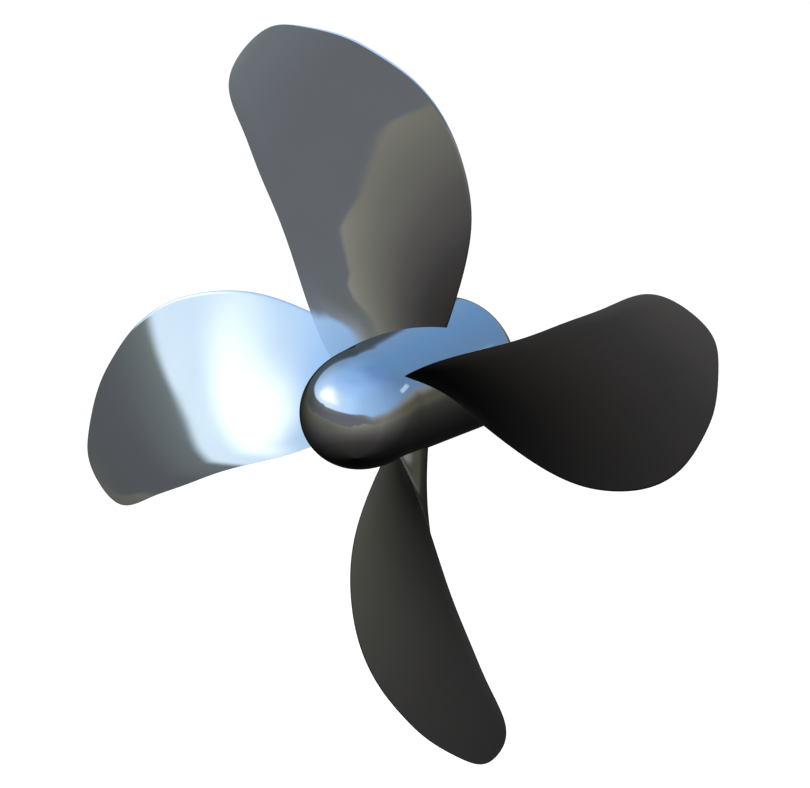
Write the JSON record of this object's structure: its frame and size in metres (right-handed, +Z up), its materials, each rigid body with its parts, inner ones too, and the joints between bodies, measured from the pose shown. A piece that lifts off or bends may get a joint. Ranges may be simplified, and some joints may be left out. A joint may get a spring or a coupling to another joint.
{
  "type": "ship propeller",
  "caption": "Fixed-pitch, right-handed ship propeller: polished cast blades on a bullet-shaped boss with a rounded nose cap and a keyed, tapered shaft bore.",
  "frame": {"origin": "centre of the boss's forward face, where the shaft enters the tapered bore", "axes": "+Y forward along the shaft, out of the bore; the nose cap points to -Y; +Z is up as in the picture, with the first blade's reference line turned 11.3 degrees from +Z towards -X"},
  "size_m": [1.9134, 0.683, 1.9134],
  "materials": {
    "cast_steel": "cast stainless steel, ground and polished to a mirror",
    "machined_steel": "turned and milled stainless steel",
    "rubber": "matt black nitrile rubber"
  },
  "bodies": {
    "root": {"boss": "cast_steel", "blade_1": "cast_steel", "blade_2": "cast_steel", "blade_3": "cast_steel", "blade_4": "cast_steel", "nose_cap": "cast_steel", "shaft_nut": "machined_steel", "nut_keeper": "machined_steel", "keeper_screw_1": "machined_steel", "keeper_screw_2": "machined_steel", "seal_ring": "rubber", "gland_ring": "machined_steel", "gland_screw_1": "machined_steel", "gland_screw_2": "machined_steel", "gland_screw_3": "machined_steel", "gland_screw_4": "machined_steel", "gland_screw_5": "machined_steel", "gland_screw_6": "machined_steel", "gland_screw_7": "machined_steel", "gland_screw_8": "machined_steel"}
  },
  "joints": []
}
